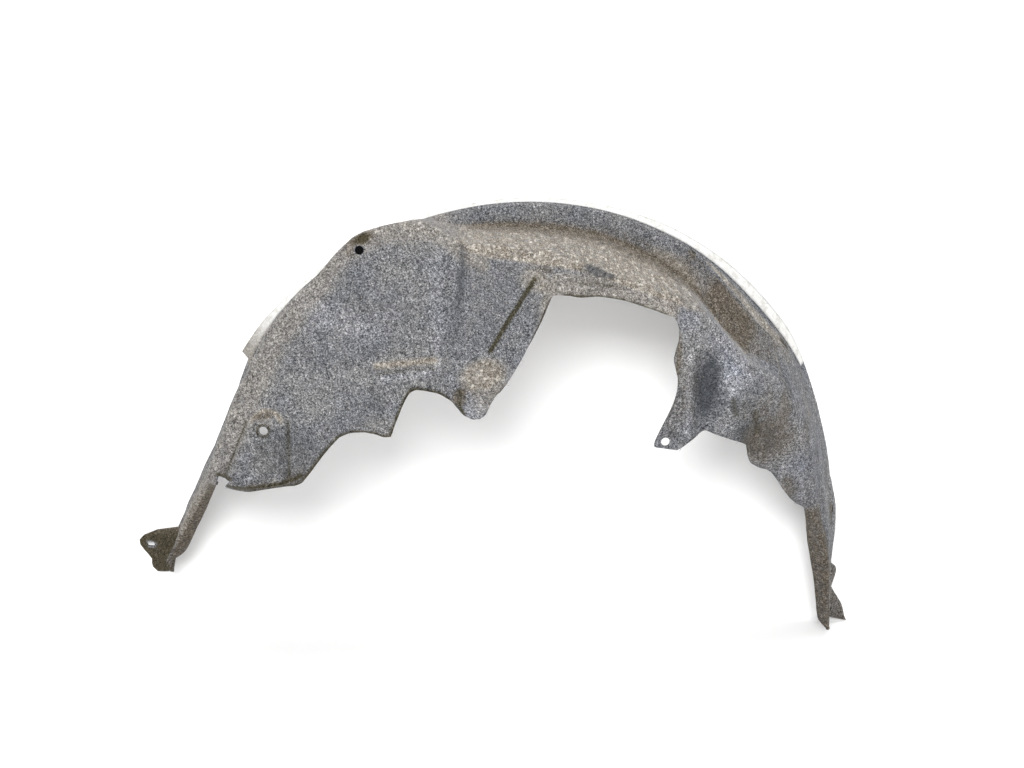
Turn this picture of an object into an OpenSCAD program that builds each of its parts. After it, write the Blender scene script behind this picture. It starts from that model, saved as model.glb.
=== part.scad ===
// Wheel arch liner: one sheet of needle-punched felt, hot-pressed into half a wheel tub.
// Frame: origin on the wheel's axis at the fender-lip plane, +X along the car, -Y towards the car body, +Z up.
// The sheet is a loft: stations are set round the arch, and each one carries the same kinds of bend,
// panel edge, panel shoulder, crease, wall top, rim bend and lip edge.

/* [Arch] */
// Radius of the arch at the fender lip
arch_r = 350; // [300:5:420]
// Depth from the fender lip to the flat inner panel
inner_depth = 200; // [150:5:260]
// Largest angle between two stations of the loft
station_angle = 3; // [2.5:0.5:5]

/* [Sheet] */
// Thickness of the pressed felt
felt_t = 3; // [2:0.5:5]
// Largest bend radius of the panel's shoulder, where it rounds into the front leg
shoulder_r = 50; // [30:2:70]
// Bend radius at the crease under the ring wall
crease_r = 10; // [6:1:14]
// Bend radius at the fender lip
rim_r = 5; // [4:0.5:7]
// Distance of the rim bend from the lip plane
rim_back = 8; // [6:1:12]

/* [Pressed forms] */
// Height of the round-topped pad low on the rear of the panel
pad_h = 5; // [2:0.5:9]
// Height of the small step above the rear lower edge
step_h = 4; // [1:0.5:7]
// Height that the slanting flange beside the strut cut-out reaches
flange_h = 15; // [6:1:22]
// Height of the round boss at the foot of that flange
boss_h = 22; // [10:1:28]
// Height of the rolled hem over the strut cut-out
hem_h = 5; // [2:0.5:8]
// Depth of the hollow beside the front tab
hollow_h = 10; // [4:1:16]
// Height of the upright flutes on the front of the panel
flute_h = 2.5; // [0:0.5:4]

/* [Fixings] */
// Bore of the screw holes in the panel
screw_d = 8; // [5:0.5:11]
// Bore of the small clip holes near the lip
clip_d = 6; // [4:0.5:8]
// Length of the slot in the rear end tab
slot_l = 9; // [7:0.5:11]
// Width of the slot in the rear end tab
slot_w = 5; // [3.5:0.5:6.5]

/* [Hidden] */

// Every table runs from the foot of the front leg to the foot of the rear leg.
// The first number is the station's angle above +X, the second is a share of arch_r.
edge_shares = [
    [-16.8, 0.94], [-16.2, 0.922], [-14.4, 0.908], [-11, 0.888], [-8, 0.873], [-5, 0.857], [-1, 0.841],
    [3, 0.828], [6, 0.82], [9.5, 0.81], [11.2, 0.783], [13, 0.768], [16, 0.75], [19.3, 0.738], [21.2, 0.73],
    [22.7, 0.719], [24.2, 0.7], [26, 0.685], [27.5, 0.684], [31, 0.698], [33, 0.686], [36, 0.662],
    [39, 0.641], [41.2, 0.628], [41.8, 0.6], [42.2, 0.545], [45, 0.525], [48, 0.505], [49, 0.515],
    [50, 0.549], [51, 0.59], [52, 0.631], [53, 0.658], [54.5, 0.684], [56.2, 0.702], [57.8, 0.722],
    [58.3, 0.741], [58.8, 0.769], [59.8, 0.793], [60.8, 0.809], [62, 0.816], [64, 0.812], [68, 0.808],
    [72, 0.805], [76, 0.798], [80, 0.791], [84.8, 0.786], [85.6, 0.775], [87.3, 0.709], [88.8, 0.668],
    [90.5, 0.624], [92.5, 0.59], [94.7, 0.558], [97, 0.54], [100.2, 0.511], [102.3, 0.486], [104.3, 0.478],
    [106.6, 0.483], [108.8, 0.5], [109.7, 0.521], [110.6, 0.541], [112.8, 0.561], [116, 0.587],
    [118.3, 0.603], [120, 0.604], [122, 0.593], [125.3, 0.571], [131, 0.537], [132.5, 0.549],
    [135.5, 0.593], [138, 0.619], [140.5, 0.633], [147.4, 0.64], [147.9, 0.64], [151.2, 0.644],
    [154.6, 0.652], [155.9, 0.665], [157.1, 0.692], [159.2, 0.736], [161.3, 0.782], [162, 0.819],
    [162.4, 0.85], [162.8, 0.866], [165, 0.886], [169.5, 0.912], [173, 0.931], [175.7, 0.95],
    [178.2, 0.971], [178.8, 0.975], [179.1, 0.978], [179.6, 0.982], [181, 0.995], [182, 1.006], [182.8, 1.02], [183.3, 1.04]
];
shoulder_shares = [
    [-16.8, 0.95], [-12, 0.922], [-8, 0.907], [-3, 0.89], [0, 0.878], [5, 0.85], [10, 0.84], [20, 0.845],
    [30, 0.855], [36, 0.857], [40, 0.845], [47, 0.835], [53, 0.85], [58, 0.865], [64, 0.858], [70, 0.852],
    [75, 0.858], [80, 0.873], [88, 0.885], [94, 0.902], [98, 0.912], [101, 0.93], [103, 0.968],
    [105, 1.0], [107, 1.013], [111, 1.024], [114.5, 1.031], [116, 1.028], [118, 1.018], [120, 1.006],
    [123, 0.988], [128, 0.98], [132, 0.968], [136, 0.956], [139, 0.938], [144, 0.922], [151, 0.905],
    [157, 0.897], [162.5, 0.895], [166, 0.916], [170, 0.944], [175, 0.983], [178.5, 1.012], [181, 1.037],
    [183.3, 1.065]
];
// Depth of the panel, as a share of inner_depth.
depth_shares = [
    [-16.8, 0.3], [0, 0.36], [10, 0.48], [15, 0.58], [25, 0.75], [35, 0.9], [43, 1],
    [160.8, 1], [163, 0.9], [165, 0.72], [170, 0.51], [178, 0.36], [183.3, 0.3]
];
// How far the panel's cut edge leans back from its shoulder, as a share of its depth there.
lean_shares = [[-16.8, 0.35], [0, 0.3], [10, 0], [162, 0], [168, 0.2], [183.3, 0.3]];
// Bend radius of the shoulder, as a share of shoulder_r.
bend_shares = [
    [-16.8, 0.15], [4, 0.2], [10, 0.5], [16, 0.95], [36, 1], [42, 0.5], [50, 0.3], [60, 0.36], [96, 0.36],
    [103, 0.2], [120, 0.18], [130, 0.36], [156, 0.36], [164, 0.16], [183.3, 0.12]
];
// Crease between crown and ring wall: its radius share and its share of inner_depth.
crease_shares = [
    [-16.8, 0.96], [-12, 0.936], [-8, 0.925], [-3, 0.912], [5, 0.893], [12, 0.886], [20, 0.89], [30, 0.9],
    [36, 0.9], [40, 0.876], [44, 0.85], [50, 0.856], [56, 0.885], [60, 0.9], [68, 0.908], [75, 0.917],
    [88, 0.918], [94, 0.923], [100, 0.935], [103, 0.955], [107, 0.99], [111, 1.0], [116, 1.005],
    [120, 0.993], [124, 0.982], [130, 0.975], [140, 0.956], [150, 0.93], [158, 0.925], [162.5, 0.93],
    [166, 0.942], [170, 0.968], [175, 1.0], [178.5, 1.026], [181, 1.048], [183.3, 1.072]
];
crease_depth_shares = [
    [-16.8, 0.2], [-3, 0.22], [5, 0.27], [12, 0.33], [20, 0.44], [30, 0.55], [36, 0.6], [40, 0.58],
    [44, 0.5], [50, 0.44], [56, 0.3], [60, 0.2], [68, 0.15], [100, 0.15], [107, 0.22], [115, 0.3],
    [150, 0.4], [165, 0.3], [175, 0.2], [183.3, 0.17]
];
// Top of the ring wall: its radius share and its share of inner_depth.
wall_shares = [
    [-16.8, 0.97], [-12, 0.95], [-8, 0.938], [-3, 0.927], [5, 0.915], [12, 0.91], [20, 0.92], [30, 0.935],
    [36, 0.945], [40, 0.938], [44, 0.932], [50, 0.944], [54, 0.959], [58, 0.974], [62, 0.978], [75, 0.98],
    [95, 0.978], [101, 0.976], [107, 0.984], [116, 0.99], [124, 0.98], [140, 0.968], [150, 0.944],
    [160, 0.941], [166, 0.958], [170, 0.982], [175, 1.012], [178.5, 1.038], [181, 1.058], [183.3, 1.08]
];
wall_depth_shares = [
    [-16.8, 0.1], [-3, 0.11], [5, 0.14], [12, 0.18], [20, 0.24], [30, 0.26], [36, 0.26], [40, 0.27],
    [50, 0.27], [54, 0.22], [58, 0.11], [62, 0.08], [107, 0.08], [120, 0.12], [150, 0.2], [170, 0.13],
    [183.3, 0.1]
];
// Rim bend and lip edge.
rim_shares = [
    [-16.8, 0.98], [-12, 0.962], [-8, 0.95], [-4, 0.944], [0, 0.945], [5, 0.947], [10, 0.938], [20, 0.948],
    [27, 0.962], [33, 0.968], [40, 0.968], [47, 0.971], [53, 0.979], [60, 0.986], [75, 0.99], [90, 0.988],
    [97, 0.986], [103, 0.984], [115, 0.981], [138, 0.98], [147, 0.966], [155, 0.953], [160, 0.955],
    [166, 0.97], [170, 0.99], [174, 1.013], [178, 1.036], [181.4, 1.078], [183.3, 1.1]
];
lip_shares = [
    [-16.8, 1.046], [-16.2, 1.036], [-14.2, 1.016], [-12.5, 0.985], [-11.5, 0.97], [-9.5, 0.973], [-8.2, 0.975], [-7.4, 0.968],
    [-7, 0.953], [-4, 0.953], [0, 0.956], [4, 0.957], [10, 0.947], [20, 0.958], [27, 0.972], [30, 0.98],
    [34, 0.992], [37.5, 1.0], [47, 1.006], [53, 1.01], [64, 1.012], [75, 1.007], [87, 1.002], [93, 0.998],
    [102, 0.994], [125, 0.995], [132, 0.998], [137, 1.002], [141, 1.006], [147.4, 1.005], [147.9, 0.978],
    [153.5, 0.964], [160, 0.965], [165, 0.973], [169.5, 0.993], [173, 1.009], [177, 1.038],
    [178.8, 1.06], [179.1, 1.125], [179.4, 1.158], [180, 1.182], [180.7, 1.18], [181.3, 1.163], [182, 1.15],
    [182.7, 1.153], [183.3, 1.138]
];
// Degrees by which the lip side of a station runs ahead of its panel side, at the rear foot.
sweep_angles = [[-16.8, 0], [176, 0], [179, 1.4], [183.3, 4]];

// Spacing of the loft's points across the panel, closer together at its cut edge.
panel_step_shares = [0, 0.05, 0.12, 0.21, 0.32, 0.45, 0.58, 0.71, 0.85];
arc_steps = 3;
// Largest part of a leg of the section that a bend may take up at one corner.
bend_leg_share = 0.45;
facing = 48;

// Places and widths of the pressed forms, as shares of arch_r along X and Z.
pad_top_shares = [-0.677, 0.436];
pad_half_share = 0.038;
pad_feet_shares = [[-0.769, 0.286], [-0.653, 0.29]];
pad_foot_share = 0.012;
step_line_shares = [[-0.393, 0.587], [-0.231, 0.602]];
step_bank_share = 0.018;
fold_line_shares = [[-0.19, 0.92], [-0.21, 0.58]];
fold_bank_share = 0.06;
flange_line_shares = [[0.063, 0.787], [-0.046, 0.556]];
flange_run_shares = [-0.084, 0.36];
flange_width_share = 0.07;
flange_bank_share = 0.07;
panel_middle_share = 0.2;
boss_place_shares = [-0.13, 0.49];
boss_reach_share = 0.11;
boss_bank_share = 0.08;
boss_width_share = 1.15;
hem_width_share = 0.035;
hem_angles = [60, 90];
ridge_place_share = 0.43;
hollow_half_share = 0.045;
hollow_top_share = 0.72;
hollow_fade_share = 0.15;
flute_place_share = 0.56;
flute_spacing_share = 0.085;
flute_start_share = 0.5;
flute_outer_share = 0.81;
flute_top_share = 0.62;
flute_bank_share = 0.06;
front_angle = 10;
fade_angle = 4;

// Holes: the panel's screw holes along X and Z, and the clip holes between the wall's top and the rim,
// each with its angle and its share of the way from one to the other.
ear_hole_shares = [-0.428, 0.893];
pad_hole_shares = [-0.686, 0.422];
tab_hole_shares = [0.367, 0.39];
clip_angles = [59.5, 36.3, 3.9];
clip_way_shares = [0.35, 0.7, 0.7];
slot_place_shares = [-1.145, -0.055];
notch_place_shares = [-0.808, 0.25];
notch_tilt_angle = 5;
notch_width_share = 0.026;
notch_length_share = 0.1;

function ease(t) = let (c = min(max(t, 0), 1)) c * c * (3 - 2 * c);
function soft(a, table, spread = 1.2) =
    (lookup(a - spread, table) + 2 * lookup(a, table) + lookup(a + spread, table)) / 4;
function hump(t) = ease(1 - abs(t));
// Full between two limits, and gone one bank outside them.
function within(t, limits, bank) = ease((t - limits[0]) / bank) * ease((limits[1] - t) / bank);

// Stations: every corner of the cut edge, with more between corners that are far apart.
stations = concat(
    [
        for (i = [0:len(edge_shares) - 2])
            let (from = edge_shares[i][0], gap = edge_shares[i + 1][0] - from, n = ceil(gap / station_angle))
            for (k = [0:n - 1]) from + gap * k / n
    ],
    [edge_shares[len(edge_shares) - 1][0]]
);

// Corners of one station's section, as [radius, y].
function corners(a) =
    let (depth = inner_depth * soft(a, depth_shares))
    [
        [arch_r * lookup(a, edge_shares), -depth * (1 - lookup(a, lean_shares))],
        [arch_r * soft(a, shoulder_shares), -depth],
        [arch_r * soft(a, crease_shares), -inner_depth * soft(a, crease_depth_shares)],
        [arch_r * soft(a, wall_shares), -inner_depth * soft(a, wall_depth_shares)],
        [arch_r * soft(a, rim_shares), -rim_back / 2],
        [arch_r * lookup(a, lip_shares), rim_back / 2]
    ];

// Points of a bend of radius r at corner b, between corners a and c.
function bend(a, b, c, r, n) =
    let (
        u = (a - b) / norm(a - b),
        v = (c - b) / norm(c - b),
        half = acos(min(max(u * v, -0.999), 0.999)) / 2,
        cut = min(r / tan(half), bend_leg_share * norm(a - b), bend_leg_share * norm(c - b)),
        p = b + cut * u,
        q = b + cut * v
    )
    [for (k = [0:n]) let (t = k / n) (1 - t) * (1 - t) * p + 2 * t * (1 - t) * b + t * t * q];

function section(a) =
    let (
        c = corners(a),
        shoulder = bend(c[0], c[1], c[2], shoulder_r * lookup(a, bend_shares), arc_steps),
        crease = bend(c[1], c[2], c[3], crease_r, 2),
        wall = bend(c[2], c[3], c[4], crease_r, 1),
        rim = bend(c[3], c[4], c[5], rim_r, 1)
    )
    concat(
        [for (t = panel_step_shares) c[0] + t * (shoulder[0] - c[0])],
        shoulder,
        [(shoulder[arc_steps] + crease[0]) / 2],
        crease,
        wall,
        rim,
        [c[5]]
    );

// Height of the pressed forms towards the body at a place on the panel, in shares of arch_r.
function step_form(x, z) =
    let (
        from = step_line_shares[0],
        to = step_line_shares[1],
        line = from[1] + (x - from[0]) / (to[0] - from[0]) * (to[1] - from[1])
    )
    step_h * ease((line - z) / step_bank_share) * within(x, [from[0], to[0]], step_bank_share);

function fold_form(x, z) =
    let (
        top = fold_line_shares[0],
        foot = fold_line_shares[1],
        line = foot[0] + (z - foot[1]) / (top[1] - foot[1]) * (top[0] - foot[0]),
        low = foot[1] - flange_width_share
    )
    -step_h * ease((x - line) / fold_bank_share + 1 / 2) * ease((panel_middle_share - x) / panel_middle_share)
    * ease((z - low) / panel_middle_share);

function flange_form(x, z) =
    let (
        top = flange_line_shares[0],
        down = (flange_line_shares[1] - top) / norm(flange_line_shares[1] - top),
        out = [x, z] - top,
        rise = ease(1 - out * [down[1], -down[0]] / flange_width_share)
    )
    flange_h * rise * within(out * down, flange_run_shares, flange_bank_share)
    * ease((panel_middle_share - x) / flange_bank_share);

function boss_form(x, z) =
    let (off = [x, z] - boss_place_shares)
    boss_h * ease((boss_reach_share - norm([off[0] / boss_width_share, off[1]])) / boss_bank_share);

function hem_form(a, r) =
    hem_h * ease(1 - (r - lookup(a, edge_shares)) / hem_width_share) * within(a, hem_angles, fade_angle);

function hollow_form(x, z) =
    -hollow_h * hump((x - ridge_place_share - hollow_half_share) / hollow_half_share)
    * ease((hollow_top_share - z) / hollow_fade_share);

function flute_form(a, r, x, z) =
    flute_h * cos(360 * (x - flute_place_share) / flute_spacing_share)
    * ease((x - flute_start_share) / flute_bank_share) * ease((flute_outer_share - r) / flute_bank_share)
    * ease((flute_top_share - z) / flute_bank_share) * ease((a - front_angle) / fade_angle);

function relief(a, r, x, z) =
    max(flange_form(x, z), boss_form(x, z)) + step_form(x, z) + fold_form(x, z) + hem_form(a, r)
    + hollow_form(x, z) + flute_form(a, r, x, z);

// The body-side skin, one row of points a station. The relief fades out round the shoulder.
function skin_row(a) =
    let (s = section(a), last = len(s) - 1, flat = len(panel_step_shares))
    [
        for (j = [0:last])
            let (
                turn = a + lookup(a, sweep_angles) * ease((j - flat) / (last - flat)),
                x = s[j][0] * cos(turn),
                z = s[j][0] * sin(turn),
                hold = j <= flat ? 1 : ease(1 - (j - flat) / arc_steps),
                up = hold == 0 ? 0 : hold * relief(a, s[j][0] / arch_r, x / arch_r, z / arch_r)
            )
            [x, s[j][1] - up, z]
    ];

skin = [for (a = stations) skin_row(a)];
rows = len(skin);
cols = len(skin[0]);

function wheelward(i, j) =
    let (
        u = skin[min(i + 1, rows - 1)][j] - skin[max(i - 1, 0)][j],
        v = skin[i][min(j + 1, cols - 1)] - skin[i][max(j - 1, 0)],
        n = cross(u, v)
    )
    n / norm(n);

// Splits a quad along the diagonal that runs more nearly level, so that pressed edges stay straight.
function split(points, f) =
    abs(points[f[0]][1] - points[f[2]][1]) <= abs(points[f[1]][1] - points[f[3]][1])
        ? [[f[0], f[1], f[2]], [f[0], f[2], f[3]]]
        : [[f[0], f[1], f[3]], [f[1], f[2], f[3]]];

module sheet() {
    near = [for (row = skin) each row];
    far = [for (i = [0:rows - 1], j = [0:cols - 1]) skin[i][j] + felt_t * wheelward(i, j)];
    half = rows * cols;
    quads = concat(
        [
            for (i = [0:rows - 2], j = [0:cols - 2])
                let (p = i * cols + j) each [
                    [p, p + cols, p + cols + 1, p + 1],
                    [half + p + 1, half + p + cols + 1, half + p + cols, half + p]
                ]
        ],
        [
            for (i = [0:rows - 2])
                let (p = i * cols, q = i * cols + cols - 1) each [
                    [p + cols, p, half + p, half + p + cols],
                    [q, q + cols, half + q + cols, half + q]
                ]
        ],
        [
            for (j = [0:cols - 2])
                let (p = j, q = (rows - 1) * cols + j) each [
                    [p, p + 1, half + p + 1, half + p],
                    [q + 1, q, half + q, half + q + 1]
                ]
        ]
    );
    points = concat(near, far);
    triangles = [for (f = quads) each split(points, f)];
    polyhedron(points = points, faces = triangles, convexity = 8);
}

// The round-topped pad with sloping banks. Its outside stands on the panel, and a smaller inside, pressed in
// from the wheel side, keeps the felt at one thickness. Both start and end at a height over the panel.
module pad(start, end, inset) {
    top_r = arch_r * pad_half_share - inset;
    foot_r = arch_r * pad_foot_share - inset;
    rise = end - start;
    translate([0, -inner_depth - start, 0])
        rotate([90, 0, 0])
            hull() {
                translate(arch_r * pad_top_shares)
                    cylinder(h = rise, r1 = top_r + rise, r2 = top_r, $fn = facing);
                for (foot = pad_feet_shares)
                    translate(arch_r * foot)
                        cylinder(h = rise, r1 = foot_r + rise, r2 = foot_r, $fn = facing / 2);
            }
}

// A screw hole straight through the panel, where the panel stands out by the given lift.
module screw_hole(at, lift) {
    translate([arch_r * at[0], felt_t - inner_depth - lift, arch_r * at[1]])
        rotate([90, 0, 0])
            cylinder(h = 4 * felt_t, d = screw_d, center = true, $fn = facing);
}

// A clip hole square to the sheet between the wall's top and the rim.
module clip_hole(angle, way) {
    c = corners(angle);
    at = c[3] + way * (c[4] - c[3]);
    lean = atan2(c[4][1] - c[3][1], c[4][0] - c[3][0]);
    rotate([0, -angle, 0])
        translate([at[0], at[1], 0])
            rotate([0, 90, lean - 90])
                cylinder(h = 4 * felt_t, d = clip_d, center = true, $fn = facing);
}

// The slot in the rear end tab.
module end_slot() {
    translate([arch_r * slot_place_shares[0], 0, arch_r * slot_place_shares[1]])
        rotate([90, 0, 0]) {
            cube([slot_l - slot_w, slot_w, 12 * felt_t], center = true);
            for (side = [-1, 1])
                translate([side * (slot_l - slot_w) / 2, 0, 0])
                    cylinder(h = 12 * felt_t, d = slot_w, center = true, $fn = facing);
        }
}

// The round-ended notch between the rear corner of the panel and the leg.
module corner_notch() {
    wide = arch_r * notch_width_share;
    long = arch_r * notch_length_share;
    translate([arch_r * notch_place_shares[0], -inner_depth, arch_r * notch_place_shares[1]])
        rotate([90, notch_tilt_angle, 0]) {
            cube([wide, long, inner_depth / 2], center = true);
            translate([0, long / 2, 0])
                cylinder(h = inner_depth / 2, d = wide, center = true, $fn = facing);
        }
}

module liner() {
    color([0.52, 0.53, 0.55])
        difference() {
            union() {
                sheet();
                pad(-felt_t / 2, pad_h, 0);
            }
            pad(-2 * felt_t, pad_h - felt_t, felt_t / 2);
            screw_hole(ear_hole_shares, 0);
            screw_hole(pad_hole_shares, pad_h);
            screw_hole(tab_hole_shares, 0);
            for (i = [0:len(clip_angles) - 1])
                clip_hole(clip_angles[i], clip_way_shares[i]);
            end_slot();
            corner_notch();
        }
}

liner();
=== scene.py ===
import math
import bpy
import numpy as np
from mathutils import Matrix, Vector


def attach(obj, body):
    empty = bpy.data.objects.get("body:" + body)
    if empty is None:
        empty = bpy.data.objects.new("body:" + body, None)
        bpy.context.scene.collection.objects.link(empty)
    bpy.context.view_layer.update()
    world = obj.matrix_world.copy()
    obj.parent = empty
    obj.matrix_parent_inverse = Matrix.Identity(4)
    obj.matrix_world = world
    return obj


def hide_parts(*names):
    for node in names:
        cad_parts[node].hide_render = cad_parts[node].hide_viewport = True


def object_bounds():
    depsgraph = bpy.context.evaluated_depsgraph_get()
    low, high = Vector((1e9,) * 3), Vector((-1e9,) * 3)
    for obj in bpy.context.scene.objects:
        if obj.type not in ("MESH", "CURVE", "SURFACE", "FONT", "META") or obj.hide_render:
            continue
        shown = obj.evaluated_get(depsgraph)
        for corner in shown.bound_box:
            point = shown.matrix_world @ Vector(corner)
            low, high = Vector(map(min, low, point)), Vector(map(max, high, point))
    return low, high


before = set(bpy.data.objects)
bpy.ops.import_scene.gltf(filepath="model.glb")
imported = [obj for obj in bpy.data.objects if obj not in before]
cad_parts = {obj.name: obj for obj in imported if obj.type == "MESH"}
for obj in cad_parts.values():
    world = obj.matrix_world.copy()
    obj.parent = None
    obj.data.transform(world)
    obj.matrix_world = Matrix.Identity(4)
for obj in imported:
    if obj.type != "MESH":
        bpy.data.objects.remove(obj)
cad_box = [list(corner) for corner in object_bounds()]

# Camera
# It stands where the photograph's camera stood: on the body side of the arch, a little above it,
# fitted to the circle of the fender lip. The picture is 1024 pixels wide.
picture_width = 1024
focal_pixels = 1450
camera_place = (-0.0126, -1.5028, 0.4203)
camera_dip = math.radians(10)


def add_object(name, data):
    obj = bpy.data.objects.new(name, data)
    bpy.context.scene.collection.objects.link(obj)
    return obj


camera_data = bpy.data.cameras.new("camera")
camera_data.sensor_width = 36
camera_data.lens = focal_pixels / picture_width * camera_data.sensor_width
camera = add_object("camera", camera_data)
camera.location = camera_place
camera.rotation_euler = (math.radians(90) - camera_dip, 0, 0)
bpy.context.scene.camera = camera

# Skin of the liner
# The real piece is one sheet of polyester felt, needle-punched and hot-pressed over a tool, then
# trimmed. Its body-side skin is worked out here: stations round the arch, each with a panel edge,
# a panel shoulder, a crease, a wall top, a rim bend and a lip edge, as in the solid.
arch_radius = 0.35
inner_depth = 0.2
rim_back = 0.008
shoulder_radius = 0.05
crease_radius = 0.01
rim_radius = 0.005
bend_leg_share = 0.45
station_gap = 0.5

# First number: the station's angle above +X in degrees. Second number: a share of the arch radius,
# of the inner depth where the name says depth, of the shoulder's bend, or degrees for the sweep.
edge_shares = [
    (-16.8, 0.94), (-16.2, 0.922), (-14.4, 0.908), (-11, 0.888), (-8, 0.873), (-5, 0.857), (-1, 0.841),
    (3, 0.828), (6, 0.82), (9.5, 0.81), (11.2, 0.783), (13, 0.768), (16, 0.75), (19.3, 0.738), (21.2, 0.73),
    (22.7, 0.719), (24.2, 0.7), (26, 0.685), (27.5, 0.684), (31, 0.698), (33, 0.686), (36, 0.662),
    (39, 0.641), (41.2, 0.628), (41.8, 0.6), (42.2, 0.545), (45, 0.525), (48, 0.505), (49, 0.515),
    (50, 0.549), (51, 0.59), (52, 0.631), (53, 0.658), (54.5, 0.684), (56.2, 0.702), (57.8, 0.722),
    (58.3, 0.741), (58.8, 0.769), (59.8, 0.793), (60.8, 0.809), (62, 0.816), (64, 0.812), (68, 0.808),
    (72, 0.805), (76, 0.798), (80, 0.791), (84.8, 0.786), (85.6, 0.775), (87.3, 0.709), (88.8, 0.668),
    (90.5, 0.624), (92.5, 0.59), (94.7, 0.558), (97, 0.54), (100.2, 0.511), (102.3, 0.486), (104.3, 0.478),
    (106.6, 0.483), (108.8, 0.5), (109.7, 0.521), (110.6, 0.541), (112.8, 0.561), (116, 0.587),
    (118.3, 0.603), (120, 0.604), (122, 0.593), (125.3, 0.571), (131, 0.537), (132.5, 0.549),
    (135.5, 0.593), (138, 0.619), (140.5, 0.633), (147.4, 0.64), (147.9, 0.64), (151.2, 0.644),
    (154.6, 0.652), (155.9, 0.665), (157.1, 0.692), (159.2, 0.736), (161.3, 0.782), (162, 0.819),
    (162.4, 0.85), (162.8, 0.866), (165, 0.886), (169.5, 0.912), (173, 0.931), (175.7, 0.95),
    (178.2, 0.971), (178.8, 0.975), (179.1, 0.978), (179.6, 0.982), (181, 0.995), (182, 1.006),
    (182.8, 1.02), (183.3, 1.04),
]
shoulder_shares = [
    (-16.8, 0.95), (-12, 0.922), (-8, 0.907), (-3, 0.89), (0, 0.878), (5, 0.85), (10, 0.84), (20, 0.845),
    (30, 0.855), (36, 0.857), (40, 0.845), (47, 0.835), (53, 0.85), (58, 0.865), (64, 0.858), (70, 0.852),
    (75, 0.858), (80, 0.873), (88, 0.885), (94, 0.902), (98, 0.912), (101, 0.93), (103, 0.968), (105, 1.0),
    (107, 1.013), (111, 1.024), (114.5, 1.031), (116, 1.028), (118, 1.018), (120, 1.006), (123, 0.988),
    (128, 0.98), (132, 0.968), (136, 0.956), (139, 0.938), (144, 0.922), (151, 0.905), (157, 0.897),
    (162.5, 0.895), (166, 0.916), (170, 0.944), (175, 0.983), (178.5, 1.012), (181, 1.037), (183.3, 1.065),
]
depth_shares = [
    (-16.8, 0.3), (0, 0.36), (10, 0.48), (15, 0.58), (25, 0.75), (35, 0.9), (43, 1), (160.8, 1), (163, 0.9),
    (165, 0.72), (170, 0.51), (178, 0.36), (183.3, 0.3),
]
lean_shares = [
    (-16.8, 0.35), (0, 0.3), (10, 0), (162, 0), (168, 0.2), (183.3, 0.3),
]
bend_shares = [
    (-16.8, 0.15), (4, 0.2), (10, 0.5), (16, 0.95), (36, 1), (42, 0.5), (50, 0.3), (60, 0.36), (96, 0.36),
    (103, 0.2), (120, 0.18), (130, 0.36), (156, 0.36), (164, 0.16), (183.3, 0.12),
]
crease_shares = [
    (-16.8, 0.96), (-12, 0.936), (-8, 0.925), (-3, 0.912), (5, 0.893), (12, 0.886), (20, 0.89), (30, 0.9),
    (36, 0.9), (40, 0.876), (44, 0.85), (50, 0.856), (56, 0.885), (60, 0.9), (68, 0.908), (75, 0.917),
    (88, 0.918), (94, 0.923), (100, 0.935), (103, 0.955), (107, 0.99), (111, 1.0), (116, 1.005),
    (120, 0.993), (124, 0.982), (130, 0.975), (140, 0.956), (150, 0.93), (158, 0.925), (162.5, 0.93),
    (166, 0.942), (170, 0.968), (175, 1.0), (178.5, 1.026), (181, 1.048), (183.3, 1.072),
]
crease_depth_shares = [
    (-16.8, 0.2), (-3, 0.22), (5, 0.27), (12, 0.33), (20, 0.44), (30, 0.55), (36, 0.6), (40, 0.58),
    (44, 0.5), (50, 0.44), (56, 0.3), (60, 0.2), (68, 0.15), (100, 0.15), (107, 0.22), (115, 0.3),
    (150, 0.4), (165, 0.3), (175, 0.2), (183.3, 0.17),
]
wall_shares = [
    (-16.8, 0.97), (-12, 0.95), (-8, 0.938), (-3, 0.927), (5, 0.915), (12, 0.91), (20, 0.92), (30, 0.935),
    (36, 0.945), (40, 0.938), (44, 0.932), (50, 0.944), (54, 0.959), (58, 0.974), (62, 0.978), (75, 0.98),
    (95, 0.978), (101, 0.976), (107, 0.984), (116, 0.99), (124, 0.98), (140, 0.968), (150, 0.944),
    (160, 0.941), (166, 0.958), (170, 0.982), (175, 1.012), (178.5, 1.038), (181, 1.058), (183.3, 1.08),
]
wall_depth_shares = [
    (-16.8, 0.1), (-3, 0.11), (5, 0.14), (12, 0.18), (20, 0.24), (30, 0.26), (36, 0.26), (40, 0.27),
    (50, 0.27), (54, 0.22), (58, 0.11), (62, 0.08), (107, 0.08), (120, 0.12), (150, 0.2), (170, 0.13),
    (183.3, 0.1),
]
rim_shares = [
    (-16.8, 0.98), (-12, 0.962), (-8, 0.95), (-4, 0.944), (0, 0.945), (5, 0.947), (10, 0.938), (20, 0.948),
    (27, 0.962), (33, 0.968), (40, 0.968), (47, 0.971), (53, 0.979), (60, 0.986), (75, 0.99), (90, 0.988),
    (97, 0.986), (103, 0.984), (115, 0.981), (138, 0.98), (147, 0.966), (155, 0.953), (160, 0.955),
    (166, 0.97), (170, 0.99), (174, 1.013), (178, 1.036), (181.4, 1.078), (183.3, 1.1),
]
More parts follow.
